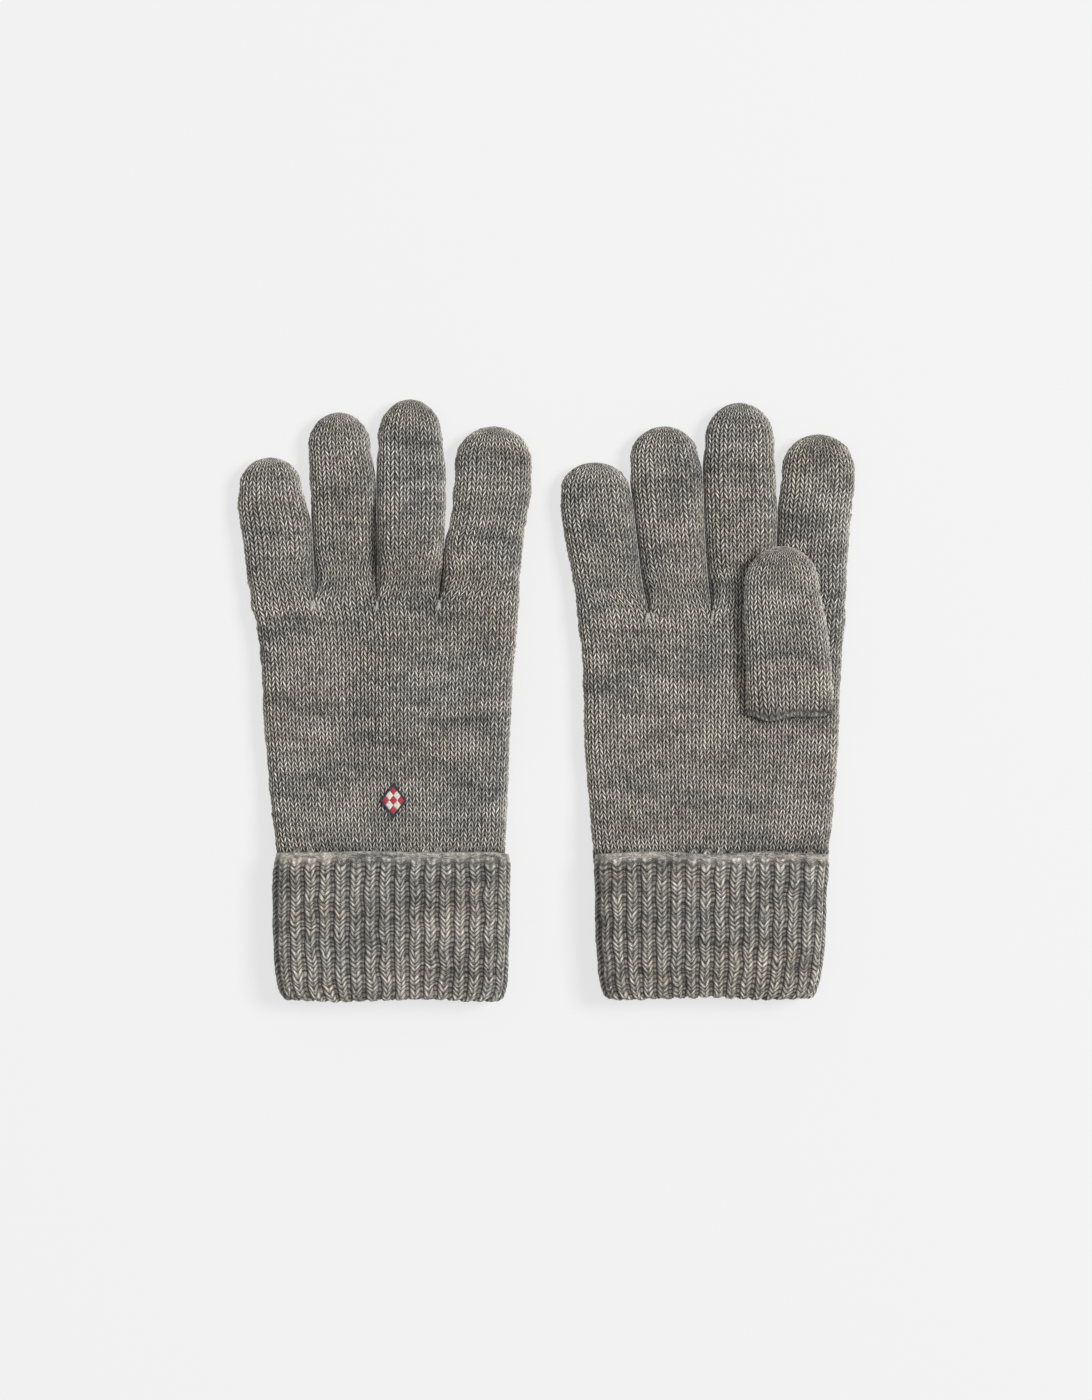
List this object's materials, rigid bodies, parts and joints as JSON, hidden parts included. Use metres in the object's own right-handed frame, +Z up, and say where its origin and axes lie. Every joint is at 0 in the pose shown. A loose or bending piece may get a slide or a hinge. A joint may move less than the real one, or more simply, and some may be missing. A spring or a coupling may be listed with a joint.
{
  "type": "knitted gloves",
  "caption": "Pair of knitted wool gloves with folded ribbed cuffs, laid flat, one back up and one palm up, with a small embroidered emblem.",
  "frame": {"origin": "middle of the pair, on the surface that the gloves lie on", "axes": "+X from the left glove to the right glove, +Y from the cuffs to the fingertips, +Z up"},
  "size_m": [0.2458, 0.2399, 0.0188],
  "materials": {
    "stockinette_knit": "heather grey wool, stockinette stitch",
    "rib_knit": "heather grey wool, one by one rib",
    "darning_yarn": "heather grey wool yarn",
    "embroidery_thread": "red, cream and navy satin stitch"
  },
  "bodies": {
    "left_hand": {"left_hand": "stockinette_knit", "left_inner_cuff": "rib_knit", "left_outer_cuff": "rib_knit", "left_crotch_stitches": "darning_yarn", "left_emblem": "embroidery_thread", "left_little_base": "stockinette_knit", "left_ring_base": "stockinette_knit", "left_middle_base": "stockinette_knit", "left_index_base": "stockinette_knit"},
    "left_little": {"left_little_tip": "stockinette_knit"},
    "left_ring": {"left_ring_tip": "stockinette_knit"},
    "left_middle": {"left_middle_tip": "stockinette_knit"},
    "left_index": {"left_index_tip": "stockinette_knit"},
    "left_thumb": {"left_thumb": "stockinette_knit"},
    "right_hand": {"right_hand": "stockinette_knit", "right_inner_cuff": "rib_knit", "right_outer_cuff": "rib_knit", "right_crotch_stitches": "darning_yarn", "right_little_base": "stockinette_knit", "right_ring_base": "stockinette_knit", "right_middle_base": "stockinette_knit", "right_index_base": "stockinette_knit"},
    "right_little": {"right_little_tip": "stockinette_knit"},
    "right_ring": {"right_ring_tip": "stockinette_knit"},
    "right_middle": {"right_middle_tip": "stockinette_knit"},
    "right_index": {"right_index_tip": "stockinette_knit"},
    "right_thumb": {"right_thumb": "stockinette_knit"}
  },
  "joints": [
    {"name": "right_glove_lift", "type": "slide", "parent": "left_hand", "child": "right_hand", "axis": [0, 0, 1], "range_m": [0, 0.12]},
    {"name": "left_little_fold", "type": "hinge", "parent": "left_hand", "child": "left_little", "pos_m": [-0.10765, 0.06152, 0.0083], "axis": [1, 0, 0], "range_deg": [0, 80]},
    {"name": "left_ring_fold", "type": "hinge", "parent": "left_hand", "child": "left_ring", "pos_m": [-0.08121, 0.06872, 0.00863], "axis": [1, 0, 0], "range_deg": [0, 80]},
    {"name": "left_middle_fold", "type": "hinge", "parent": "left_hand", "child": "left_middle", "pos_m": [-0.0544, 0.0708, 0.016], "axis": [1, 0, 0], "range_deg": [0, 80]},
    {"name": "left_index_fold", "type": "hinge", "parent": "left_hand", "child": "left_index", "pos_m": [-0.02373, 0.06648, 0.01704], "axis": [1, 0, 0], "range_deg": [0, 80]},
    {"name": "right_little_fold", "type": "hinge", "parent": "right_hand", "child": "right_little", "pos_m": [0.02276, 0.05904, 0.0083], "axis": [1, 0, 0], "range_deg": [0, 80]},
    {"name": "right_ring_fold", "type": "hinge", "parent": "right_hand", "child": "right_ring", "pos_m": [0.04981, 0.0648, 0.0083], "axis": [1, 0, 0], "range_deg": [0, 80]},
    {"name": "right_middle_fold", "type": "hinge", "parent": "right_hand", "child": "right_middle", "pos_m": [0.0774, 0.06856, 0.0083], "axis": [1, 0, 0], "range_deg": [0, 80]},
    {"name": "right_index_fold", "type": "hinge", "parent": "right_hand", "child": "right_index", "pos_m": [0.10688, 0.06352, 0.0083], "axis": [1, 0, 0], "range_deg": [0, 80]},
    {"name": "left_thumb_swing", "type": "hinge", "parent": "left_hand", "child": "left_thumb", "pos_m": [-0.0222, -0.0038, 0.0042], "axis": [0, 0, -1], "range_deg": [0, 28]},
    {"name": "right_thumb_lift", "type": "hinge", "parent": "right_hand", "child": "right_thumb", "pos_m": [0.097, -0.0038, 0.0146], "axis": [1, 0, 0], "range_deg": [0, 120]}
  ]
}
